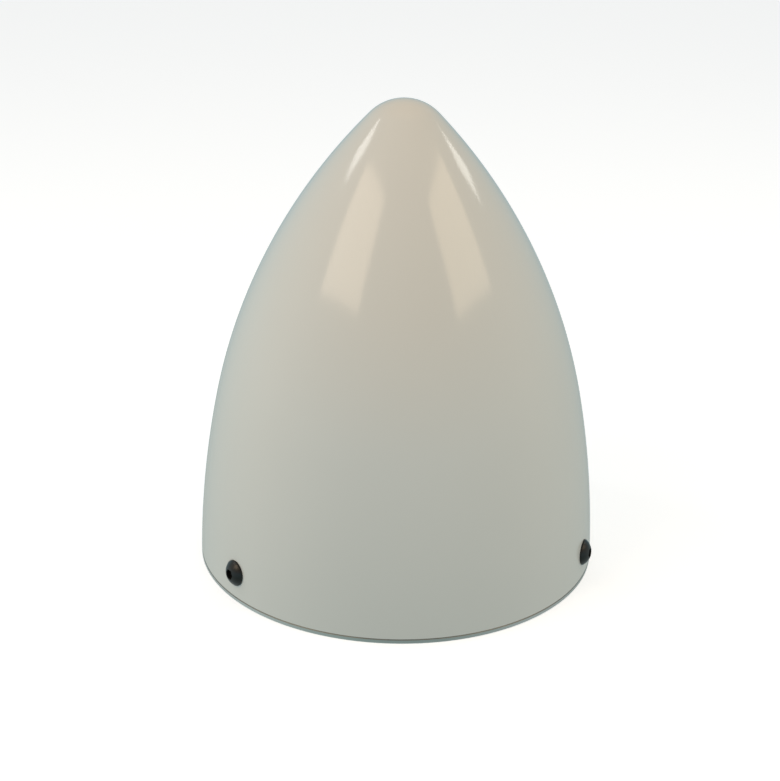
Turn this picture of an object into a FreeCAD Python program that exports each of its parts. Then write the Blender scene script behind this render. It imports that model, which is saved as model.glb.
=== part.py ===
"""Propeller spinner for a model aeroplane.

A hollow pointed cone of white moulded glass fibre slides down over the turned step of a machined
aluminium backplate and stands on its thin flange.  Three button head screws, evenly spaced round the
edge, go through the cone into lugs of the backplate.  The engine's shaft comes up through the bore.

Frame: the Z axis is the axis of rotation, with the nose at the top.  The origin is the centre of the
backplate's rear face, on which the spinner stands.  Millimetres and degrees.
"""

import FreeCAD, Part
import math
import os

# ---------------------------------------------------------------- driving dimensions

BASE_DIAMETER = 90.0        # over the flange and over the cone's lower edge
OVERALL_HEIGHT = 104.4      # rear face to the tip of the nose

# Cone: its outline is two long arcs and a ball nose, each tangent to the next.
BASE_TAPER_ANGLE = 1.6      # how much the lower arc faces upwards at the base
FLANK_JOINT_ANGLE = 11.6    # the same where the lower arc meets the upper one
NOSE_JOINT_ANGLE = 43.9     # the same where the upper arc meets the ball
NOSE_RADIUS = 10.4          # radius of the ball
CONE_WALL = 1.5             # laminate of the flank and the nose
EDGE_WALL = 2.0             # thicker wall at the lower edge, bored round to fit the backplate
EDGE_BREAK = 0.15           # small bevel of the cone's and the flange's meeting edges
BORE_LEAD_IN = 0.4          # bevel inside the cone's lower edge

# Backplate: turned all round, then milled.
FLANGE_THICKNESS = 1.0      # the rim that shows below the cone
STEP_CLEARANCE = 0.1        # radial gap between the step and the cone's bore
RIM_HEIGHT = 4.5            # top of the rim and of the ribs
RIM_WALL = 2.5
POCKET_FLOOR = 1.9          # height of the floor of the pockets
RIB_WIDTH = 3.0
RIBS_PER_LUG = 2            # one rib runs to each lug, and the others lie between them
CUTTER_RADIUS = 3.0         # radius left in the corners of the pockets
HUB_DIAMETER = 28.0
HUB_HEIGHT = 5.2
SHAFT_BORE = 10.0
BORE_BEVEL = 0.3
THRUST_FACE_DIAMETER = 30.0  # flat ring round the bore that bears on the engine
REAR_RING_WIDTH = 6.0       # flat ring under the rim, on which the spinner stands
REAR_RELIEF = 0.4           # depth of the turned recess between the two
LUG_TOP = 10.4
LUG_WIDTH = 14.0
LUG_DEPTH = 6.5
LUG_CORNER_RADIUS = 3.0
LUG_LEAD_IN = 0.5           # bevel that guides the cone on

# Screws: M3 x 8 button head with a hexagon socket.
SCREW_COUNT = 3
SCREW_HEIGHT = 6.75         # where the screws' axes meet the cone's skin, square to it
FIRST_SCREW_ANGLE = 90.0    # from the X axis
SCREW_DIAMETER = 3.0
SCREW_LENGTH = 8.0          # under the head
SCREW_POINT = 0.4           # bevel at the end of the thread
HEAD_DIAMETER = 5.7
HEAD_HEIGHT = 1.85
HEAD_LAND = 0.35            # straight side of the head, below its dome
SOCKET_FLATS = 2.0
SOCKET_DEPTH = 1.05         # to the corner of the drill's point
DRILL_POINT_ANGLE = 120.0
CLEARANCE_HOLE = 3.2        # through the cone
SPOT_FACE_MARGIN = 0.1      # of the flat seat round the head
SPOT_FACE_LIP = 0.02        # least height of the wall round the seat
THREAD_CLEARANCE = 0.02     # radial, between the screw and the tapped hole

# ---------------------------------------------------------------- worked out from them

base_radius = BASE_DIAMETER / 2
cone_bore_radius = base_radius - EDGE_WALL
step_radius = cone_bore_radius - STEP_CLEARANCE
pocket_outer_radius = step_radius - RIM_WALL
lug_inner_radius = step_radius - LUG_DEPTH
hub_radius = HUB_DIAMETER / 2
rib_count = RIBS_PER_LUG * SCREW_COUNT
seat_radius = HEAD_DIAMETER / 2 + SPOT_FACE_MARGIN

ORIGIN = FreeCAD.Vector(0, 0, 0)
OUTWARDS = FreeCAD.Vector(1, 0, 0)
UP = FreeCAD.Vector(0, 0, 1)


# ---------------------------------------------------------------- tools of the shop

def at(radius, height):
    """A point of a turned profile, which is drawn in the XZ plane."""
    return FreeCAD.Vector(radius, 0, height)


def straight_run(points):
    """Straight edges from each point to the next."""
    return [Part.makeLine(a, b) for a, b in zip(points, points[1:])]


def turned(edges):
    """The solid that a closed profile sweeps in one turn about the Z axis."""
    outline = Part.Wire(Part.__sortEdges__(edges))
    return Part.Face(outline).revolve(ORIGIN, UP, 360)


def spaced_round(shape, count, first_angle):
    """Copies of a shape that lies on the X axis, evenly spaced about the Z axis."""
    copies = []
    for number in range(count):
        copy = shape.copy()
        copy.rotate(ORIGIN, UP, first_angle + number * 360 / count)
        copies.append(copy)
    return copies


def edges_along(shape, direction):
    """The straight edges of a shape that run along a direction."""
    straight = [edge for edge in shape.Edges if isinstance(edge.Curve, Part.Line)]
    return [edge for edge in straight if edge.Curve.Direction.cross(direction).Length < 1e-6]


# ---------------------------------------------------------------- the cone's outline

def facing(angle):
    """Unit vector in the XZ plane that points outwards and this much upwards."""
    return at(math.cos(math.radians(angle)), math.sin(math.radians(angle)))


def cross(a, b):
    """The one number of the cross product of two vectors in the XZ plane."""
    return a.x * b.z - a.z * b.x


foot = at(base_radius, FLANGE_THICKNESS)
ball_centre = at(0, OVERALL_HEIGHT - NOSE_RADIUS)
ball_joint = ball_centre + facing(NOSE_JOINT_ANGLE) * NOSE_RADIUS

# An arc of unit radius carries its end by the difference of the directions that its two ends face, so
# two equations give the radii with which the two arcs reach from the foot to the ball.
span = ball_joint - foot
lower_turn = facing(FLANK_JOINT_ANGLE) - facing(BASE_TAPER_ANGLE)
upper_turn = facing(NOSE_JOINT_ANGLE) - facing(FLANK_JOINT_ANGLE)
lower_radius = cross(span, upper_turn) / cross(lower_turn, upper_turn)
upper_radius = cross(lower_turn, span) / cross(lower_turn, upper_turn)
lower_centre = foot - facing(BASE_TAPER_ANGLE) * lower_radius
upper_centre = lower_centre + facing(FLANK_JOINT_ANGLE) * (lower_radius - upper_radius)


def outline_arc(centre, radius, start, end):
    """Arc of the outline between the points where it faces upwards by two angles."""
    ends = [centre + facing(angle) * radius for angle in (start, (start + end) / 2, end)]
    return Part.Arc(*ends).toShape()


def ogive(inset):
    """The solid inside the cone's outline, or inside a parallel outline this much further in."""
    lower = outline_arc(lower_centre, lower_radius - inset, BASE_TAPER_ANGLE, FLANK_JOINT_ANGLE)
    upper = outline_arc(upper_centre, upper_radius - inset, FLANK_JOINT_ANGLE, NOSE_JOINT_ANGLE)
    nose = outline_arc(ball_centre, NOSE_RADIUS - inset, NOSE_JOINT_ANGLE, 90)
    start = foot - facing(BASE_TAPER_ANGLE) * inset
    tip = ball_centre + UP * (NOSE_RADIUS - inset)
    return turned([lower, upper, nose] + straight_run([tip, at(0, start.z), start]))


def cone_radius_at(height):
    """Outside radius of the cone at a height on its lower arc."""
    return lower_centre.x + math.sqrt(lower_radius ** 2 - (height - lower_centre.z) ** 2)


# The screws stand square to the skin, so their axes lean as the skin does.  Each seat is cut just
# deep enough for the whole of the head to bear on it, which the roundness of the cone decides.
screw_lean = math.degrees(math.asin((SCREW_HEIGHT - lower_centre.z) / lower_radius))
screw_axis = facing(screw_lean)
skin_point = at(cone_radius_at(SCREW_HEIGHT), SCREW_HEIGHT)
skin_drop = skin_point.x - math.sqrt(skin_point.x ** 2 - seat_radius ** 2)
screw_seat = skin_point - screw_axis * (skin_drop + SPOT_FACE_LIP)


def screw_bar(radius, start, end):
    """A round bar on a screw's axis, from one distance outwards from the seat to another."""
    return Part.makeCylinder(radius, end - start, screw_seat + screw_axis * start, screw_axis)


# ---------------------------------------------------------------- the pieces

def lower_edge_bevel(radius, size, side):
    """The ring that a bevel takes off a lower corner of the cone.

    side is 1 for the corner on the outside and -1 for the one in the bore.  The section is a triangle
    three times as large as the bevel, so that it reaches clear of the corner on both sides.
    """
    corner = at(radius, FLANGE_THICKNESS)
    below = corner - UP * size
    return turned(straight_run([
        below - OUTWARDS * (2 * size * side),
        below + OUTWARDS * (size * side),
        corner + OUTWARDS * (size * side) + UP * (2 * size),
        below - OUTWARDS * (2 * size * side),
    ]))


def make_cone():
    """Moulded shell: parallel walls, a round bore at the lower edge and three seats for screws."""
    fitted_bore = Part.makeCylinder(cone_bore_radius, OVERALL_HEIGHT)
    cavity = ogive(CONE_WALL).common(fitted_bore)
    outer_bevel = lower_edge_bevel(base_radius, EDGE_BREAK, 1)
    bore_bevel = lower_edge_bevel(cone_bore_radius, BORE_LEAD_IN, -1)
    through_hole = screw_bar(CLEARANCE_HOLE / 2, -SCREW_LENGTH, HEAD_HEIGHT)
    head_seat = screw_bar(seat_radius, 0, HEAD_HEIGHT)
    holes = spaced_round(through_hole.fuse(head_seat), SCREW_COUNT, FIRST_SCREW_ANGLE)
    return ogive(0).cut(cavity).cut([outer_bevel, bore_bevel] + holes)


def make_pocket():
    """The space milled out between two ribs, half of each rib away from their centre lines."""
    depth = RIM_HEIGHT - POCKET_FLOOR
    floor = FreeCAD.Vector(0, 0, POCKET_FLOOR)
    spread = 360 / rib_count
    outer = Part.makeCylinder(pocket_outer_radius, depth, floor, UP, spread)
    inner = Part.makeCylinder(hub_radius, depth, floor, UP)
    rib_side = FreeCAD.Vector(0, -RIB_WIDTH / 2, POCKET_FLOOR)
    first_rib = Part.makeBox(base_radius, RIB_WIDTH, depth, rib_side)
    next_rib = first_rib.copy()
    next_rib.rotate(ORIGIN, UP, spread)
    pocket = outer.cut([inner, first_rib, next_rib])
    return pocket.makeFillet(CUTTER_RADIUS, edges_along(pocket, UP))


def make_lug():
    """One block of the turned ring, left standing for a screw, with rounded top corners.

    Where the cone's wall closes in above its bore, the block stays clear of it by the same gap.
    """
    block_side = FreeCAD.Vector(0, -LUG_WIDTH / 2, POCKET_FLOOR)
    block = Part.makeBox(base_radius, LUG_WIDTH, LUG_TOP - POCKET_FLOOR, block_side)
    top_corners = [edge for edge in edges_along(block, OUTWARDS) if edge.CenterOfMass.z > SCREW_HEIGHT]
    block = block.makeFillet(LUG_CORNER_RADIUS, top_corners)
    ring = turned(straight_run([
        at(lug_inner_radius, POCKET_FLOOR),
        at(step_radius, POCKET_FLOOR),
        at(step_radius, LUG_TOP - LUG_LEAD_IN),
        at(step_radius - LUG_LEAD_IN, LUG_TOP),
        at(lug_inner_radius, LUG_TOP),
        at(lug_inner_radius, POCKET_FLOOR),
    ]))
    return block.common(ring).common(ogive(CONE_WALL + STEP_CLEARANCE))


def make_backplate():
    """Turned disc with flange, step, hub and bore, pockets milled between ribs, and three lugs."""
    bore_radius = SHAFT_BORE / 2
    thrust_radius = THRUST_FACE_DIAMETER / 2
    rear_ring_radius = base_radius - REAR_RING_WIDTH
    disc = turned(straight_run([
        at(bore_radius + BORE_BEVEL, 0),
        at(thrust_radius, 0),
        at(thrust_radius, REAR_RELIEF),
        at(rear_ring_radius, REAR_RELIEF),
        at(rear_ring_radius, 0),
        at(base_radius - EDGE_BREAK, 0),
        at(base_radius, EDGE_BREAK),
        at(base_radius, FLANGE_THICKNESS - EDGE_BREAK),
        at(base_radius - EDGE_BREAK, FLANGE_THICKNESS),
        at(step_radius, FLANGE_THICKNESS),
        at(step_radius, RIM_HEIGHT),
        at(hub_radius, RIM_HEIGHT),
        at(hub_radius, HUB_HEIGHT),
        at(bore_radius + BORE_BEVEL, HUB_HEIGHT),
        at(bore_radius, HUB_HEIGHT - BORE_BEVEL),
        at(bore_radius, BORE_BEVEL),
        at(bore_radius + BORE_BEVEL, 0),
    ]))
    pockets = spaced_round(make_pocket(), rib_count, FIRST_SCREW_ANGLE)
    lugs = spaced_round(make_lug(), SCREW_COUNT, FIRST_SCREW_ANGLE)
    drill_reach = EDGE_WALL + LUG_DEPTH + SCREW_DIAMETER
    tapped_hole = screw_bar(SCREW_DIAMETER / 2 + THREAD_CLEARANCE, -drill_reach, 0)
    tapped_holes = spaced_round(tapped_hole, SCREW_COUNT, FIRST_SCREW_ANGLE)
    return disc.cut(pockets).fuse(lugs).removeSplitter().cut(tapped_holes)


def make_screw():
    """One button head screw, drawn upright with its head's underside at the origin."""
    head_radius = HEAD_DIAMETER / 2
    thread_radius = SCREW_DIAMETER / 2
    dome_height = HEAD_HEIGHT - HEAD_LAND
    dome_radius = (head_radius ** 2 + dome_height ** 2) / (2 * dome_height)
    half_way = math.asin(head_radius / dome_radius) / 2
    crown = at(0, HEAD_HEIGHT)
    dome_middle = crown + at(math.sin(half_way), math.cos(half_way) - 1) * dome_radius
    dome = Part.Arc(at(head_radius, HEAD_LAND), dome_middle, crown).toShape()
    body = turned([dome] + straight_run([
        crown,
        at(0, -SCREW_LENGTH),
        at(thread_radius - SCREW_POINT, -SCREW_LENGTH),
        at(thread_radius, SCREW_POINT - SCREW_LENGTH),
        at(thread_radius, 0),
        at(head_radius, 0),
        at(head_radius, HEAD_LAND),
    ]))
    socket_floor = at(0, HEAD_HEIGHT - SOCKET_DEPTH)
    first_corner = socket_floor + OUTWARDS * (SOCKET_FLATS / 2 / math.cos(math.radians(30)))
    corners = [vertex.Point for vertex in spaced_round(Part.Vertex(first_corner), 6, 0)]
    socket = Part.Face(Part.makePolygon(corners + corners[:1])).extrude(UP * SOCKET_DEPTH)
    point_depth = SOCKET_FLATS / 2 / math.tan(math.radians(DRILL_POINT_ANGLE / 2))
    drill_point = Part.makeCone(0, SOCKET_FLATS / 2, point_depth, socket_floor - UP * point_depth, UP)
    return body.cut([socket, drill_point])


def make_cone_screws():
    """The three screws in their places, heads outwards."""
    screw = make_screw()
    screw.rotate(ORIGIN, UP.cross(OUTWARDS), 90 - screw_lean)
    screw.translate(screw_seat)
    return Part.makeCompound(spaced_round(screw, SCREW_COUNT, FIRST_SCREW_ANGLE))


# ---------------------------------------------------------------- write the files

PIECES = {
    "cone": make_cone,
    "backplate": make_backplate,
    "cone_screws": make_cone_screws,
}

os.makedirs("parts", exist_ok=True)
for name, make in PIECES.items():
    shape = make()
    shape.exportStep(f"parts/{name}.step")
    box = shape.BoundBox
    print(f"{name}: {len(shape.Solids)} solid(s), {shape.Volume / 1000:.2f} cm3, "
          f"{box.XLength:.2f} x {box.YLength:.2f} x {box.ZLength:.2f} mm, valid {shape.isValid()}")
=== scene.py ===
# %% [markdown]
# # Propeller spinner for a model aeroplane
# A spinner is the pointed cap that streamlines the hub of a propeller.  This one is a hollow cone
# of glass fibre with a glossy white gel coat.  It slides down over an aluminium backplate, and
# three small button head screws hold it there.  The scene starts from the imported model, so that
# every new piece has the same frame and the same sizes: metres, Z upwards, the rear face of the
# backplate on the floor.

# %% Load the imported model
import math

import bpy
import numpy as np
from mathutils import Matrix, Vector


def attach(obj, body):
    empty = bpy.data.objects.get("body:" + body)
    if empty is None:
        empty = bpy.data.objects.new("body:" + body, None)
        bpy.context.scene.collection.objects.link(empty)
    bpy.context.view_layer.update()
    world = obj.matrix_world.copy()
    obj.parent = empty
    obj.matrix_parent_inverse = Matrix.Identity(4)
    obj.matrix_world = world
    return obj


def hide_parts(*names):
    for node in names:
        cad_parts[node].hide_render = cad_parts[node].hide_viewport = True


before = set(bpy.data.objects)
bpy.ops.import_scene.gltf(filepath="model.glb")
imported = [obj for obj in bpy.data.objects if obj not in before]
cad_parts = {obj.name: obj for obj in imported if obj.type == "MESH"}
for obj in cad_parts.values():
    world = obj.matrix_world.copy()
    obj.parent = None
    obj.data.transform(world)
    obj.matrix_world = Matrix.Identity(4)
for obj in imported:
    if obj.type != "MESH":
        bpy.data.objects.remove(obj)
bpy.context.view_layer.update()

# %% [markdown]
# ## The sizes
# A piece that stands for a solid of the model has to fit the pieces that stay, so the sizes are the
# model's own, in metres.  Each is written once here, and everything else is worked out from it.

# %% Sizes in metres, angles in degrees
BASE_RADIUS = 0.045
OVERALL_HEIGHT = 0.1044
FLANGE_THICKNESS = 0.001    # of the backplate's flange, on which the cone stands
BASE_TAPER_ANGLE = 1.6      # how much the outline faces upwards at the base
FLANK_JOINT_ANGLE = 11.6    # the same where the two long arcs meet
NOSE_JOINT_ANGLE = 43.9     # the same where the ball nose begins
NOSE_RADIUS = 0.0104
CONE_WALL = 0.0015
EDGE_WALL = 0.002           # at the lower edge, where the cone is bored round
EDGE_BREAK = 0.00015        # bevel outside the lower edge
BORE_LEAD_IN = 0.0004       # bevel inside it

SCREW_COUNT = 3
FIRST_SCREW_ANGLE = 90.0
SCREW_HEIGHT = 0.00675      # where the screws' axes meet the skin, square to it
SEAT_RADIUS = 0.00295
SPOT_FACE_LIP = 0.00002     # least height of the wall round a seat
HOLE_RADIUS = 0.0016
HEAD_RADIUS = 0.00285
HEAD_HEIGHT = 0.00185
HEAD_LAND = 0.00035         # height of the head's edge, where its dome would begin
THREAD_RADIUS = 0.0015
SCREW_LENGTH = 0.008
SOCKET_HALF_FLATS = 0.001   # half the width of the hexagon socket, from flat to flat
SOCKET_DEPTH = 0.00105
DRILL_POINT_ANGLE = 120.0

SCREW_ANGLES = [FIRST_SCREW_ANGLE + k * 360 / SCREW_COUNT for k in range(SCREW_COUNT)]
print("screws at", SCREW_ANGLES, "degrees from the X axis")

# %% [markdown]
# ## Surfaces from numpy
# Every new piece is a patchwork of grids.  A grid is one array of points and one array of normals,
# both worked out from a formula, so a glossy skin gets exact normals and its reflections have no
# ripples, however uneven the grid is.  Grids that share an edge repeat its points.  The weld finds
# the repeated points, and that closes the mesh.

# %% Cells of the grids
def grid_quads(row_count, column_count, first):
    """Corner numbers of a grid's cells: with n = i * columns + j, a cell is n, n+1, n+1+c, n+c."""
    corner = first + np.arange(row_count * column_count).reshape(row_count, column_count)
    around = [corner[:-1, :-1], corner[:-1, 1:], corner[1:, 1:], corner[1:, :-1]]
    return np.stack(around, axis=-1).reshape(-1, 4)


def turned_outwards(cells, points, normals):
    """The cells, turned over where the cross product of the diagonals is against the normals."""
    corners = points[cells]
    across = np.cross(corners[:, 2] - corners[:, 0], corners[:, 3] - corners[:, 1])
    wrong_way = np.einsum("ij,ij->i", across, normals[cells].sum(axis=1)) < 0
    return np.where(wrong_way[:, None], cells[:, ::-1], cells)


def quads_and_triangles(cells, number):
    """The cells with four different points, and the rest as triangles.

    A cell of which two corners fall together, as at the tip of a nose, has the same number there
    and at the next corner.  Its triangle starts at that next corner.
    """
    shared = number[cells]
    same_as_next = shared == np.roll(shared, -1, axis=1)
    whole = ~same_as_next.any(axis=1)
    turn = (same_as_next[~whole].argmax(axis=1)[:, None] + np.array([1, 2, 3])) % 4
    return cells[whole], np.take_along_axis(cells[~whole], turn, axis=1)


# %% Weld grids into one closed mesh
WELD_STEP = 1e-7            # points that round to the same multiples of this are one point


def add_object(name, data):
    """A new object in the scene, which holds a mesh, a camera or a lamp."""
    new = bpy.data.objects.new(name, data)
    bpy.context.scene.collection.objects.link(new)
    return new


def weld(name, grids):
    """One object from (points, normals) grids of shape (rows, columns, 3).

    A point's key is its place, counted in weld steps, and points with the same key become one.
    """
    points = np.concatenate([p.reshape(-1, 3) for p, _ in grids])
    normals = np.concatenate([n.reshape(-1, 3) for _, n in grids])
    shapes = [p.shape[:2] for p, _ in grids]
    starts = np.cumsum([0] + [row_count * column_count for row_count, column_count in shapes])
    cells = np.concatenate([grid_quads(*shape, start) for shape, start in zip(shapes, starts)])
    keys = np.rint(points / WELD_STEP).astype(np.int64)
    _, kept, number = np.unique(keys, axis=0, return_index=True, return_inverse=True)
    number = number.reshape(-1)     # some versions of numpy give a column
    quads, triangles = quads_and_triangles(turned_outwards(cells, points, normals), number)
    mesh = bpy.data.meshes.new(name)
    mesh.from_pydata(points[kept], [], number[quads].tolist() + number[triangles].tolist())
    mesh.shade_smooth()
    corners = np.concatenate([quads.reshape(-1), triangles.reshape(-1)])
    mesh.normals_split_custom_set(normals[corners].tolist())
    print(f"{name}: {len(mesh.vertices)} points, {len(mesh.polygons)} faces, "
          f"{2 * len(mesh.edges) - len(mesh.loops)} open edges")
    return add_object(name, mesh)


# %% Surfaces turned about Z
def turned(radius, height, lean, azimuth):
    """A surface turned about Z, as a grid: (r cos t, r sin t, z).

    lean is the angle by which the normal points upwards, so the normal is
    (cos lean cos t, cos lean sin t, sin lean).  The arguments are arrays of one shape, or of shapes
    that numpy can spread over each other.
    """
    radius, height, lean, azimuth = np.broadcast_arrays(radius, height, lean, azimuth)
    points = np.stack([radius * np.cos(azimuth), radius * np.sin(azimuth), height], axis=-1)
    normals = np.stack([np.cos(lean) * np.cos(azimuth), np.cos(lean) * np.sin(azimuth),
                        np.sin(lean)], axis=-1)
    return points, normals


def straight_band(start, end, lean, azimuth):
    """A straight line from one (radius, height) to another, turned about Z."""
    radius, height = np.array([start, end]).T[..., None]
    return turned(radius, height, lean, azimuth)


def turned_about_z(grid, degrees):
    """A grid turned about Z: (x cos a - y sin a, x sin a + y cos a, z), and its normals too."""
    c, s = math.cos(math.radians(degrees)), math.sin(math.radians(degrees))
    turn = np.array([[c, -s, 0], [s, c, 0], [0, 0, 1]])
    return tuple(part @ turn.T for part in grid)


def rows(low, high, count):
    """Evenly spaced values as a column, which numpy spreads over the azimuths."""
    return np.linspace(low, high, count)[:, None]


# %% [markdown]
# ## The outline of the cone
# The outline is three arcs, each tangent to the next: two long ones and a ball nose.  On such a
# curve the best parameter is the direction that it faces, because the point and the normal both
# come from it.  Two equations give the radii of the long arcs, since they have to reach from the
# foot to the ball.

# %% Work out the three arcs
def facing(degrees):
    """(radius, height) of the unit vector that points outwards and this much upwards."""
    return np.array([math.cos(math.radians(degrees)), math.sin(math.radians(degrees))])


def cross(a, b):
    """The cross product of two flat vectors: a0 b1 - a1 b0."""
    return a[0] * b[1] - a[1] * b[0]


foot = np.array([BASE_RADIUS, FLANGE_THICKNESS])
ball_centre = np.array([0.0, OVERALL_HEIGHT - NOSE_RADIUS])
span = ball_centre + NOSE_RADIUS * facing(NOSE_JOINT_ANGLE) - foot
lower_turn = facing(FLANK_JOINT_ANGLE) - facing(BASE_TAPER_ANGLE)
upper_turn = facing(NOSE_JOINT_ANGLE) - facing(FLANK_JOINT_ANGLE)
lower_radius = cross(span, upper_turn) / cross(lower_turn, upper_turn)
upper_radius = cross(lower_turn, span) / cross(lower_turn, upper_turn)
lower_centre = foot - facing(BASE_TAPER_ANGLE) * lower_radius
upper_centre = lower_centre + facing(FLANK_JOINT_ANGLE) * (lower_radius - upper_radius)
print(f"arcs of {lower_radius * 1000:.1f} mm and {upper_radius * 1000:.1f} mm")

# %% Points on the outline
flank_joint, nose_joint = math.radians(FLANK_JOINT_ANGLE), math.radians(NOSE_JOINT_ANGLE)


def outline(angle, inset=0.0):
    """Radius and height where the outline faces upwards by an angle, in radians.

    Each arc is centre + (R - inset) (cos a, sin a).  np.select picks the arc that holds the angle.
    """
    arcs = [angle < flank_joint, angle < nose_joint]
    size = np.select(arcs, [lower_radius, upper_radius], NOSE_RADIUS) - inset
    centre_r = np.select(arcs, [lower_centre[0], upper_centre[0]], ball_centre[0])
    centre_z = np.select(arcs, [lower_centre[1], upper_centre[1]], ball_centre[1])
    return centre_r + size * np.cos(angle), centre_z + size * np.sin(angle)


def angle_at(height):
    """The other way round, on the lower arc: a = asin((z - centre) / R)."""
    return np.arcsin((height - lower_centre[1]) / lower_radius)


def outer_radius_at(height):
    """Radius of the outside at a height on the lower arc."""
    return outline(angle_at(height))[0]


def up_the_outline(first, counts):
    """Facing angles from a first one to the tip, in even rows on each of the three arcs.

    Two arcs share the row at their joint, and each count has the rows at both ends of its arc.
    """
    ends = [first, flank_joint, nose_joint, math.pi / 2]
    arcs = [rows(low, high, count)[1:] for low, high, count in zip(ends, ends[1:], counts)]
    return np.concatenate([rows(first, first, 1), *arcs])


# %% [markdown]
# ## The cone
# On the real spinner glass cloth and resin are laid in a polished mould, so the outside is one
# smooth skin and the inside is parallel to it, thicker at the lower edge, where it is bored to fit
# the backplate.  The Screw modifier and a Boolean would give the same form, but a Boolean leaves
# long thin faces round each hole, which a glossy skin shows.  Here the grid itself goes round the
# holes: a square window is left out of it, and rings lead from the window to the round seat.

# %% Grid lines of the cone
SECTOR_COLUMNS = 160        # of one third of the way round
WINDOW_COLUMNS = 12         # of the window round each screw, and the same number of rows
WINDOW_HALF_HEIGHT = 0.0035
ROWS_BELOW_WINDOW = 5
OUTSIDE_ROWS = [24, 60, 36]     # of the lower arc over the window, the upper arc and the ball
INSIDE_ROWS = [10, 26, 14]      # of the same arcs inside, over the bore
BORE_ROWS_BELOW = 3             # of the bore below the window
BORE_ROWS_ABOVE = 2

column_step = math.radians(360 / SCREW_COUNT) / SECTOR_COLUMNS
window_half_width = column_step * WINDOW_COLUMNS / 2
window_low = SCREW_HEIGHT - WINDOW_HALF_HEIGHT
window_high = SCREW_HEIGHT + WINDOW_HALF_HEIGHT
window_rows = rows(window_low, window_high, WINDOW_COLUMNS + 1)
print(f"a window is {2 * window_half_width * BASE_RADIUS * 1000:.2f} mm wide")


def window_frame():
    """Points round the window as (azimuth, height), anticlockwise, with the first one repeated."""
    t = np.linspace(-1, 1, WINDOW_COLUMNS + 1)[:-1]
    one = np.ones_like(t)
    across = np.concatenate([t, one, -t, -one, [-1]])
    upwards = np.concatenate([-one, t, one, -t, [-1]])
    return across * window_half_width, SCREW_HEIGHT + upwards * WINDOW_HALF_HEIGHT


frame_azimuth, frame_height = window_frame()
bearing = np.arctan2(frame_height - SCREW_HEIGHT, frame_azimuth * BASE_RADIUS)  # round the screw

# %% Where a screw stands, for a screw along X
screw_lean = float(angle_at(SCREW_HEIGHT))
skin_radius = float(outer_radius_at(SCREW_HEIGHT))
skin_drop = skin_radius - math.sqrt(skin_radius ** 2 - SEAT_RADIUS ** 2)
seat_depth = skin_drop + SPOT_FACE_LIP
screw_out = np.array([math.cos(screw_lean), 0.0, math.sin(screw_lean)])
screw_up = np.array([-math.sin(screw_lean), 0.0, math.cos(screw_lean)])
sideways = np.array([0.0, 1.0, 0.0])
skin_point = np.array([skin_radius, 0.0, SCREW_HEIGHT])
print(f"a screw leans {math.degrees(screw_lean):.2f} degrees, seat {seat_depth * 1000:.3f} mm deep")


def by_the_screw(out, side, up):
    """Point seen from where the screw's axis meets the skin: p + out o + side s + up u."""
    parts = [(out, screw_out), (side, sideways), (up, screw_up)]
    return skin_point + sum(np.asarray(value)[..., None] * axis for value, axis in parts)


def hole_loop(radius, depth):
    """A circle round the screw's axis at a depth below the skin: (-d, h cos b, h sin b)."""
    return by_the_screw(-depth, radius * np.cos(bearing), radius * np.sin(bearing))


# %% Rings between a hole and its window
MOUTH_STEPS = 8
RING_COUNT = 9
RING_CROWDING = 1.3         # above 1, the rings are closer together near the hole
bore_radius = BASE_RADIUS - EDGE_WALL


def mouth(hole_radius, radius_at):
    """The loop in which a round hole on the screw's axis meets a surface turned about Z.

    A point of the hole slides along the axis by as much as it is off the surface,
    (sqrt(x^2 + y^2) - R(z)) / cos lean, and after a few such steps it lies on it.
    """
    depth = 0 * bearing
    for _ in range(MOUTH_STEPS):
        x, y, z = np.moveaxis(hole_loop(hole_radius, depth), -1, 0)
        depth = depth + (np.hypot(x, y) - radius_at(z)) / math.cos(screw_lean)
    return hole_loop(hole_radius, depth)


def bore_radius_at(height):
    """Radius of the bore, the same at every height."""
    return bore_radius + 0 * height


def upright(height):
    """The lean of a surface that stands upright, at every height."""
    return 0 * height


def skin_rings(hole_radius, radius_at, lean_at, side):
    """Rings from a hole to the window's frame, on a turned surface.

    The hole's mouth becomes azimuths atan2(y, x) and heights, and a ring lies a share s of the way
    from it to the frame.  side is 1 for the outside and -1 for the bore.
    """
    x, y, z = np.moveaxis(mouth(hole_radius, radius_at), -1, 0)
    share = rows(0, 1, RING_COUNT) ** RING_CROWDING
    azimuth = np.arctan2(y, x) * (1 - share) + frame_azimuth * share
    height = z * (1 - share) + frame_height * share
    points, normals = turned(radius_at(height), height, lean_at(height), azimuth)
    return points, normals * side


outside_rings = skin_rings(SEAT_RADIUS, outer_radius_at, angle_at, 1)
bore_rings = skin_rings(HOLE_RADIUS, bore_radius_at, upright, -1)


def hole_grids():
    """The seat's wall, its floor and the hole through the laminate."""
    towards_axis = -np.cos(bearing)[:, None] * sideways - np.sin(bearing)[:, None] * screw_up
    outwards = np.broadcast_to(screw_out, towards_axis.shape)
    rim, inside = outside_rings[0][0], bore_rings[0][0]
    seat_edge = hole_loop(SEAT_RADIUS, seat_depth)
    hole_edge = hole_loop(HOLE_RADIUS, seat_depth)
    return [
        (np.stack([rim, seat_edge]), np.stack([towards_axis] * 2)),
        (np.stack([seat_edge, hole_edge]), np.stack([outwards] * 2)),
        (np.stack([hole_edge, inside]), np.stack([towards_axis] * 2)),
    ]


# %% The skin, the bore and the lower edge
edge_top = FLANGE_THICKNESS + EDGE_BREAK
lead_in_top = FLANGE_THICKNESS + BORE_LEAD_IN
bore_end_angle = math.acos((bore_radius - lower_centre[0]) / (lower_radius - CONE_WALL))
bore_end = outline(bore_end_angle, CONE_WALL)[1]
print(f"the bore ends {bore_end * 1000:.2f} mm up")


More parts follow.
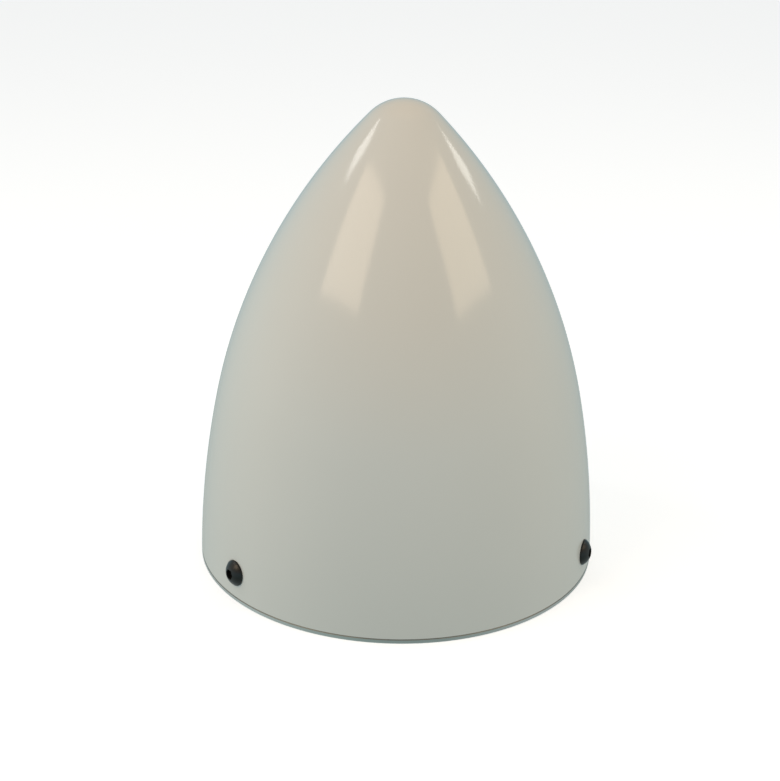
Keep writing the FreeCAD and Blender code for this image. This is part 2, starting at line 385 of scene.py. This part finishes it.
def skin_grid(angle, azimuth, inset=0.0):
    """Part of the moulded skin: facing angles down the rows, azimuths along the columns.

    With an inset it is the inside, and its normals point the other way.
    """
    radius, height = outline(angle, inset)
    points, normals = turned(radius, height, angle, azimuth)
    return points, -normals if inset else normals


def lower_edge(azimuth):
    """The lower edge from outside to inside: a bevel, the face on the flange and the lead-in."""
    outer_foot = (BASE_RADIUS - EDGE_BREAK, FLANGE_THICKNESS)
    inner_foot = (bore_radius + BORE_LEAD_IN, FLANGE_THICKNESS)
    slope = math.pi / 4
    return [
        straight_band((outer_radius_at(edge_top), edge_top), outer_foot, -slope, azimuth),
        straight_band(outer_foot, inner_foot, -math.pi / 2, azimuth),
        straight_band(inner_foot, (bore_radius, lead_in_top), math.pi + slope, azimuth),
    ]


def cone_sector():
    """All the grids of the third of the cone whose screw lies along X."""
    half = math.radians(180 / SCREW_COUNT)
    whole = np.linspace(-half, half, SECTOR_COLUMNS + 1)
    side_columns = (SECTOR_COLUMNS - WINDOW_COLUMNS) // 2 + 1
    left = np.linspace(-half, -window_half_width, side_columns)
    right = np.linspace(window_half_width, half, side_columns)
    bore = [
        (rows(lead_in_top, window_low, BORE_ROWS_BELOW), whole),
        (window_rows, left),
        (window_rows, right),
        (rows(window_high, bore_end, BORE_ROWS_ABOVE), whole),
    ]
    return [
        skin_grid(angle_at(rows(edge_top, window_low, ROWS_BELOW_WINDOW)), whole),
        skin_grid(angle_at(window_rows), left),
        skin_grid(angle_at(window_rows), right),
        outside_rings,
        skin_grid(up_the_outline(angle_at(window_high), OUTSIDE_ROWS), whole),
        bore_rings,
        skin_grid(up_the_outline(bore_end_angle, INSIDE_ROWS), whole, CONE_WALL),
        *[turned(bore_radius, height, math.pi, azimuth) for height, azimuth in bore],
        *lower_edge(whole),
        *hole_grids(),
    ]


# %% Make the cone
sector = cone_sector()
cone = weld("cone_skin", [turned_about_z(grid, a) for a in SCREW_ANGLES for grid in sector])
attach(cone, "root")
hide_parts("cone")

# %% [markdown]
# ## The screws
# A button head screw has a low dome with a hexagon socket, and its thread is rolled.  Its shape is
# a function of the angle round its axis and the distance along its profile.  Only two parts of it
# aren't round: the socket, where the radius follows a hexagon, and the thread, where the profile
# climbs with the angle.  So the screw is turned like the cone, with those two radii changed.

# %% The head of an upright screw, with the head's underside at the origin
ROUND_COLUMNS = 72
DOME_ROWS = 14
SOCKET_BREAK = 0.00009      # small bevel round the mouth of the socket
HEAD_BREAK = 0.00008        # small bevels of the head's corners
UPPER_BREAK_LEAN = 0.35     # radians by which the normals of the upper one point upwards
DRILL_SHARE = 0.985         # share of the socket's half width that the drill takes

spin = np.linspace(0, 2 * math.pi, ROUND_COLUMNS + 1)[None, :]
dome_rise = HEAD_HEIGHT - HEAD_LAND
dome_radius = (HEAD_RADIUS ** 2 + dome_rise ** 2) / (2 * dome_rise)
print(f"the dome has a radius of {dome_radius * 1000:.2f} mm")


def dome_height(radius):
    """Height of the dome over the head's underside: top - R + sqrt(R^2 - r^2)."""
    return HEAD_HEIGHT - dome_radius + np.sqrt(dome_radius ** 2 - radius ** 2)


def hexagon(half_flats):
    """Radius of a hexagon at each angle: h / cos(((t + 30) mod 60) - 30), in degrees."""
    within = np.mod(spin + math.pi / 6, math.pi / 3) - math.pi / 6
    return half_flats / np.cos(within)


def unit(vectors):
    """Each vector divided by its own length."""
    return vectors / np.linalg.norm(vectors, axis=-1, keepdims=True)


def socket_strip(first_radius, first_height, last_radius, last_height):
    """A strip between two rings that aren't round, with normals that face the screw's axis.

    A normal is the cross product of the step to the next column and the step to the other ring.
    """
    radius = np.concatenate([first_radius, last_radius])
    height = np.concatenate([first_height, last_height])
    points, outwards = turned(radius, height, 0.0, spin)
    around = np.roll(points[0], -1, axis=0) - points[0]
    around[-1] = around[0]
    normals = unit(np.cross(around, points[1] - points[0]))
    away = (normals * outwards[0]).sum(axis=-1, keepdims=True) > 0
    return points, np.stack([np.where(away, -normals, normals)] * 2)


# %% The rolled thread
THREAD_ROWS = 129
THREAD_PITCH = 0.0005
THREAD_DEPTH = 0.00027
THREAD_FLATS = 0.15         # more than 0 cuts the crests and the roots flat
THREAD_RUNOUT = 0.0004      # of plain shank, and as much again in which the groove deepens
POINT_BEVEL = 0.0004


def thread_radius(height):
    """Radius of the shank: a groove that climbs with the angle and fades out near both ends.

    The phase is z / pitch - t / 2 pi, the groove is 1 - |2 phase - 1|, and the radius is
    R - depth * groove, with the groove stretched past 0 and 1 and then cut off there.
    """
    phase = np.mod(height / THREAD_PITCH - spin / (2 * math.pi), 1.0)
    groove = 1 - np.abs(2 * phase - 1)
    cut = np.clip(groove * (1 + 2 * THREAD_FLATS) - THREAD_FLATS, 0, 1)
    fade = np.clip((-height - THREAD_RUNOUT) / THREAD_RUNOUT, 0, 1)
    end = np.clip((height + SCREW_LENGTH) / POINT_BEVEL, 0, 1)
    outside = THREAD_RADIUS - (1 - end) * POINT_BEVEL
    return outside - THREAD_DEPTH * cut * fade * end


# %% All the strips of an upright screw
def screw_grids():
    """The grids of one screw: dome, socket, bands of the head, socket's floor, shank and end."""
    rim = hexagon(SOCKET_HALF_FLATS + SOCKET_BREAK)
    walls = hexagon(SOCKET_HALF_FLATS)
    wall_top = dome_height(walls) - SOCKET_BREAK
    floor_height = HEAD_HEIGHT - SOCKET_DEPTH
    edge_radius = HEAD_RADIUS - HEAD_BREAK
    edge_height = dome_height(edge_radius)
    land_top = edge_height - HEAD_BREAK
    dome = rim + (edge_radius - rim) * rows(0, 1, DOME_ROWS)
    drill_radius = SOCKET_HALF_FLATS * DRILL_SHARE
    half_point = math.radians(DRILL_POINT_ANGLE / 2)
    drill_tip = floor_height - drill_radius / math.tan(half_point)
    shank_height = rows(0, -SCREW_LENGTH, THREAD_ROWS)
    shank_radius = thread_radius(shank_height)
    bands = [
        ((edge_radius, edge_height), (HEAD_RADIUS, land_top), UPPER_BREAK_LEAN),
        ((HEAD_RADIUS, land_top), (HEAD_RADIUS, HEAD_BREAK), 0.0),
        ((HEAD_RADIUS, HEAD_BREAK), (edge_radius, 0.0), -math.pi / 4),
        ((edge_radius, 0.0), (THREAD_RADIUS, 0.0), -math.pi / 2),
        ((drill_radius, floor_height), (0.0, drill_tip), half_point),
    ]
    floor_radius = np.concatenate([walls, drill_radius + 0 * walls])
    end_radius = np.concatenate([shank_radius[-1:], 0 * spin])
    return [
        turned(dome, dome_height(dome), math.pi / 2 - np.arcsin(dome / dome_radius), spin),
        socket_strip(rim, dome_height(rim), walls, wall_top),
        socket_strip(walls, wall_top, walls, floor_height + 0 * walls),
        *[straight_band(start, end, lean, spin) for start, end, lean in bands],
        turned(floor_radius, floor_height, math.pi / 2, spin),
        turned(shank_radius, shank_height, 0.0, spin),
        turned(end_radius, -SCREW_LENGTH, -math.pi / 2, spin),
    ]


def laid_in_seat(grid):
    """An upright screw laid in its seat: x becomes downwards, y sideways and z outwards."""
    points, normals = grid
    lay = np.stack([-screw_up, sideways, screw_out])
    return points @ lay + by_the_screw(-seat_depth, 0.0, 0.0), normals @ lay


# %% Make the three screws
one_screw = [laid_in_seat(grid) for grid in screw_grids()]
screws = weld("button_head_screws",
              [turned_about_z(grid, a) for a in SCREW_ANGLES for grid in one_screw])
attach(screws, "root")
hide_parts("cone_screws")

# %% [markdown]
# ## Shader maths as Python
# A procedural finish is mostly arithmetic on a few noises.  A small class wraps a socket, so that
# an expression such as `1 - mask * 0.3` adds the Math nodes by itself.

# %% A socket that can be used in expressions
class Wire:
    """An output socket of a node tree, with arithmetic that adds Math nodes."""

    def __init__(self, writer, socket):
        self.writer = writer
        self.socket = socket

    def maths(self, operation, *values):
        """A Math node that works on the values in this order."""
        return self.writer.node("ShaderNodeMath", {"operation": operation}, dict(enumerate(values)))

    def __add__(self, other):
        return self.maths("ADD", self, other)

    def __radd__(self, other):
        return self.maths("ADD", other, self)

    def __sub__(self, other):
        return self.maths("SUBTRACT", self, other)

    def __rsub__(self, other):
        return self.maths("SUBTRACT", other, self)

    def __mul__(self, other):
        return self.maths("MULTIPLY", self, other)

    def __rmul__(self, other):
        return self.maths("MULTIPLY", other, self)

    def __truediv__(self, other):
        return self.maths("DIVIDE", self, other)

    def __rtruediv__(self, other):
        return self.maths("DIVIDE", other, self)

    def __pow__(self, other):
        return self.maths("POWER", self, other)

    def __rpow__(self, other):
        return self.maths("POWER", other, self)


# %% A writer of node trees
class NodeWriter:
    """Writes a node tree as expressions."""

    def __init__(self, tree):
        self.tree = tree

    def node(self, kind, settings=None, inputs=None, output=0):
        """Adds a node: its settings first, then a value or a Wire for each input socket."""
        new = self.tree.nodes.new(kind)
        for name, value in (settings or {}).items():
            if name == "stops":
                self.set_stops(new.color_ramp, value)
            else:
                setattr(new, name, value)
        for name, value in (inputs or {}).items():
            self.feed(new.inputs[name], value)
        return Wire(self, new.outputs[output])

    def set_stops(self, ramp, stops):
        """Gives a colour ramp its (position, colour) stops."""
        while len(ramp.elements) < len(stops):
            ramp.elements.new(1.0)
        for element, (position, colour) in zip(ramp.elements, stops):
            element.position = position
            element.color = (*colour, 1.0)

    def feed(self, socket, value):
        """Links a Wire to a socket, or sets the socket's own value."""
        if isinstance(value, Wire):
            self.tree.links.new(value.socket, socket)
        else:
            socket.default_value = value

    def mix_colours(self, share, first, second):
        """first where share is 0 and second where it is 1."""
        return self.node("ShaderNodeMix", {"data_type": "RGBA"},
                         {0: share, 6: first, 7: second}, output=2)

    def coordinates(self, vector):
        """The x, y and z of a vector."""
        x = self.node("ShaderNodeSeparateXYZ", None, {0: vector})
        return [Wire(self, output) for output in x.socket.node.outputs]

    def rise(self, value, start, end):
        """0 up to the start, 1 from the end on, and a straight rise between them."""
        return self.node("ShaderNodeMapRange", None, {0: value, 1: start, 2: end})


class Finish(NodeWriter):
    """A material: patterns over the surface that feed one Principled shader."""

    def __init__(self, name):
        self.material = bpy.data.materials.new(name)
        self.material.use_nodes = True
        super().__init__(self.material.node_tree)
        self.shader = self.tree.nodes["Principled BSDF"]

    def surface(self, **inputs):
        """Feeds the sockets of the surface's own shader; an underscore stands for a space."""
        for name, value in inputs.items():
            self.feed(self.shader.inputs[name.replace("_", " ")], value)

    def place(self):
        """Where a point lies on the object, in metres."""
        return self.node("ShaderNodeTexCoord", output="Object")

    def noise(self, scale, detail, where=None, roughness=0.5):
        """Soft random value about 0.5, with this many features to the metre."""
        inputs = {"Vector": where or self.place(), "Scale": scale, "Detail": detail,
                  "Roughness": roughness}
        return self.node("ShaderNodeTexNoise", None, inputs)

    def bump(self, height, depth):
        """Normals of a surface raised by height times depth metres."""
        return self.node("ShaderNodeBump", None, {"Height": height, "Distance": depth})


# %% [markdown]
# ## White gel coat
# Gel coat is the first layer in the mould: pigmented resin, glossy because the mould is polished.
# It is never quite flat: it has a very faint orange peel, and handling leaves patches that are a
# little less glossy.  Noises in object coordinates give both, because a moulded skin has no
# direction and no pattern that repeats.

# %% Gel coat
gel = Finish("gel_coat_white")
cloudy = gel.noise(scale=26.0, detail=3.0)
peel = gel.noise(scale=520.0, detail=2.0)
wiped = gel.noise(scale=70.0, detail=4.0, roughness=0.6)
gel.surface(
    Base_Color=gel.mix_colours(cloudy, (0.70, 0.69, 0.655, 1), (0.735, 0.725, 0.69, 1)),
    Roughness=0.10 + wiped * 0.06,
    IOR=1.5,
    Normal=gel.bump(peel, depth=0.0000025),
)
cone.data.materials.append(gel.material)

# %% [markdown]
# ## Black oxide
# The screws are blackened in a hot salt bath, which leaves a thin dark layer over the rolled
# steel.  It is satin, a little uneven, and nearly black.  The layer is an oxide and not bare metal,
# so the shader's Metallic stays at 0 and the gloss comes from the index of refraction.

# %% Black oxide steel
oxide = Finish("black_oxide")
blotches = oxide.noise(scale=900.0, detail=3.0)
grain = oxide.noise(scale=6000.0, detail=2.0)
oxide.surface(
    Base_Color=oxide.mix_colours(blotches, (0.006, 0.007, 0.006, 1), (0.013, 0.013, 0.012, 1)),
    IOR=1.45,
    Roughness=0.27 + blotches * 0.12,
    Normal=oxide.bump(grain, depth=0.000004),
)
screws.data.materials.append(oxide.material)

# %% [markdown]
# ## Machined aluminium
# The backplate keeps its solid from the model, because every form of it is machined.  Its finish
# is what the lathe leaves: fine rings about the axis, which catch the light as a fan.  A noise
# that depends only on the distance from the axis and the height gives rings of uneven depth.  A
# painted shadow darkens the narrow bevel in the joint under the cone, and makes it rougher there.

# %% Turned and milled aluminium
JOINT_SHADOW_RADIUS = (0.0436, 0.0440)       # where the painted shadow begins, and where it is full
JOINT_SHADOW_HEIGHT = (0.00078, 0.00086)

metal = Finish("machined_aluminium_bright")
east, north, height = metal.coordinates(metal.place())
radial = (east * east + north * north) ** 0.5
ring_place = metal.node("ShaderNodeCombineXYZ", None, {0: radial, 1: 0.0, 2: height})
rings = metal.noise(scale=9000.0, detail=2.0, where=ring_place)
tarnish = metal.noise(scale=60.0, detail=3.0)
# painted shadow in the joint under the cone: a mask over the narrow bevel of the flange
joint_shadow = metal.rise(radial, *JOINT_SHADOW_RADIUS) * metal.rise(height, *JOINT_SHADOW_HEIGHT)
bright = metal.mix_colours(tarnish, (0.57, 0.56, 0.54, 1), (0.66, 0.65, 0.63, 1))
metal.surface(
    # the dark colour is the painted joint shadow, and it raises the roughness there too
    Base_Color=metal.mix_colours(joint_shadow, bright, (0.26, 0.26, 0.24, 1)),
    Metallic=1.0,
    Roughness=0.24 + rings * 0.14 + joint_shadow * 0.25,
    Normal=metal.bump(rings, depth=0.000004),
)
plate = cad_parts["backplate"]
for slot in plate.material_slots:
    slot.material = metal.material
print("slots of the backplate:", len(plate.material_slots))

# %% [markdown]
# ## The camera
# The camera looks down at the spinner from the side on which two screws show, with a short
# telephoto lens, and it is held a little askew.

# %% Places and directions
def direction(bearing_degrees, elevation_degrees):
    """Unit vector (cos e cos b, cos e sin b, sin e)."""
    b, e = math.radians(bearing_degrees), math.radians(elevation_degrees)
    return Vector((math.cos(e) * math.cos(b), math.cos(e) * math.sin(b), math.sin(e)))


def looking(place, target, roll):
    """Matrix of a camera or lamp at a place: -Z to the target, and X level before the roll."""
    turn = (target - place).to_track_quat("-Z", "Y").to_matrix().to_4x4()
    return Matrix.Translation(place) @ turn @ Matrix.Rotation(math.radians(roll), 4, "Z")


# %% Camera
CAMERA_BEARING = 260.6      # from the X axis
CAMERA_ELEVATION = 22.83
CAMERA_DISTANCE = 0.360
CAMERA_ROLL = 1.18
CAMERA_AIM = Vector((0, 0, 0.0383))
FOCAL_LENGTH = 73.862       # in millimetres, as is the sensor's width
SENSOR_WIDTH = 36.0
SIDEWAYS_SHIFT = -0.01152   # of the width of the view

lens = bpy.data.cameras.new("camera")
lens.sensor_width = SENSOR_WIDTH
lens.lens = FOCAL_LENGTH
lens.shift_x = SIDEWAYS_SHIFT
camera = add_object("camera", lens)
eye = CAMERA_AIM + direction(CAMERA_BEARING, CAMERA_ELEVATION) * CAMERA_DISTANCE
camera.matrix_world = looking(eye, CAMERA_AIM, CAMERA_ROLL)
bpy.context.scene.camera = camera
print("camera at", [round(v, 4) for v in eye])

# %% [markdown]
# ## Floor
# A large pale sheet is the floor.  It is lit by the lamps, and it glows a little as well, as paper
# does on a light table, so that it stays pale.  The cone doesn't see it: the room below the horizon
# takes its place in the reflections and in the light that comes up from below.

# %% Floor
FLOOR_SIZE = 6.0
half = FLOOR_SIZE / 2
floor_mesh = bpy.data.meshes.new("floor")
floor_mesh.from_pydata([(-half, -half, 0), (half, -half, 0), (half, half, 0), (-half, half, 0)],
                       [], [(0, 1, 2, 3)])
floor = add_object("floor", floor_mesh)
floor.visible_diffuse = False
floor.visible_glossy = False
paper = Finish("pale_paper")
paper.surface(Base_Color=(0.72, 0.78, 0.86, 1), Roughness=0.9, Specular_IOR_Level=0.0,
              Emission_Color=(1.0, 0.98, 0.955, 1), Emission_Strength=0.55)
floor_mesh.materials.append(paper.material)

# %% [markdown]
# ## Lamps
# Two softboxes stand in front to the left and right, and give the soft bright windows on the skin.
# Two small panels stand at the sides, a little behind the spinner, and give the thin bright lines
# near the nose.  A gloss surface shows each lamp's own shape, so the lamps are flat panels of the
# right size, not points.

# %% Lamps
LAMP_AIM = Vector((0, 0, 0.085))
LAMP_DISTANCE = 0.5


def panel(name, azimuth, elevation, roll, size, radiance):
    """Flat lamp at an azimuth to the right of the camera and an elevation, facing the spinner.

    A flat source of radiance L gives L pi width height watts.  The strongest of the three colours
    sets the watts, and the lamp's colour is each radiance divided by it.
    """
    strongest = max(radiance)
    data = bpy.data.lights.new(name, "AREA")
    data.shape = "RECTANGLE"
    data.size, data.size_y = size
    data.energy = strongest * math.pi * size[0] * size[1]
    data.color = [part / strongest for part in radiance]
    place = LAMP_AIM + direction(CAMERA_BEARING + azimuth, elevation) * LAMP_DISTANCE
    add_object(name, data).matrix_world = looking(place, LAMP_AIM, roll)
    print(f"{name}: {data.energy:.3f} W")


# name, azimuth, elevation, roll, (width, height), radiance in (red, green, blue)
panel("softbox_left", -54, 39, 8, (0.300, 0.262), (3.02, 2.39, 1.73))
panel("softbox_right", 64.5, 37, -6, (0.305, 0.262), (2.61, 2.06, 1.39))
panel("strip_left", -105.5, 40.5, 0, (0.095, 0.092), (4.92, 4.84, 4.63))
panel("strip_right", 117, 29.3, 0, (0.104, 0.078), (4.10, 4.00, 3.70))

# %% [markdown]
# ## The room
# The rest of the light comes from the room, and a glossy cone shows the room from the zenith to the
# floor.  So the room is written as three ramps of colour over the elevation: one in front, one at
# the sides and one behind.  In front it is warm above the horizon, cool at it and dark below it,
# which is what the bright rim of the backplate needs to look like metal.  The sides are the
# brightest, with a pale cool light at the horizon, and it is blue behind.

# %% Ramps of the room
ROOM_STRENGTH = 2.0
LEFT_GAIN = 0.12            # how much brighter the left side is than the middle
ELEVATIONS = [-90, -30, 0, 30, 60, 90]      # the ramps share their lowest and highest colour
ROOM_BELOW = (0.50, 0.60, 0.60)
ROOM_TOP = (0.50, 0.48, 0.45)
ROOM_FRONT = [(0.22, 0.30, 0.26), (0.41, 0.66, 0.80), (0.38, 0.24, 0.16), (0.35, 0.30, 0.25)]
ROOM_SIDES = [(0.50, 0.60, 0.60), (0.78, 0.88, 0.87), (0.62, 0.57, 0.51), (0.40, 0.38, 0.35)]
ROOM_BEHIND = [(0.40, 0.45, 0.43), (0.24, 0.45, 0.54), (0.29, 0.44, 0.51), (0.35, 0.38, 0.36)]

world = bpy.data.worlds.new("room")
world.use_nodes = True
bpy.context.scene.world = world
room = NodeWriter(world.node_tree)
gaze = room.node("ShaderNodeTexCoord", output="Generated")
upwards = room.coordinates(gaze)[2]
elevation = room.node("ShaderNodeMath", {"operation": "ARCSINE"}, {0: upwards}) / math.pi + 0.5


def room_ramp(colours):
    """Colour over the elevation; a position of 0 is straight down and 1 is straight up."""
    stops = [(0.5 + angle / 180, [part / ROOM_STRENGTH for part in colour])
             for angle, colour in zip(ELEVATIONS, [ROOM_BELOW, *colours, ROOM_TOP])]
    return room.node("ShaderNodeValToRGB", {"stops": stops}, {0: elevation})


# %% The room round the camera
def along(bearing_degrees):
    """How far the gaze goes in a horizontal direction: the dot product of the two."""
    return room.node("ShaderNodeVectorMath", {"operation": "DOT_PRODUCT"},
                     {0: gaze, 1: direction(bearing_degrees, 0)}, output="Value")


def positive(value):
    """The value, or 0 where it is negative."""
    return room.node("ShaderNodeMath", {"operation": "MAXIMUM"}, {0: value, 1: 0.0})


towards_camera = along(CAMERA_BEARING)
sides_and_front = room.mix_colours(positive(towards_camera), room_ramp(ROOM_SIDES),
                                   room_ramp(ROOM_FRONT))
whole_room = room.mix_colours(positive(0 - towards_camera), sides_and_front,
                              room_ramp(ROOM_BEHIND))
background = world.node_tree.nodes["Background"]
room.feed(background.inputs["Color"], whole_room)
room.feed(background.inputs["Strength"],
          (1 + along(CAMERA_BEARING - 90) * LEFT_GAIN) * ROOM_STRENGTH)
bpy.context.scene.view_settings.view_transform = "Standard"
print("nodes of the room:", len(world.node_tree.nodes))
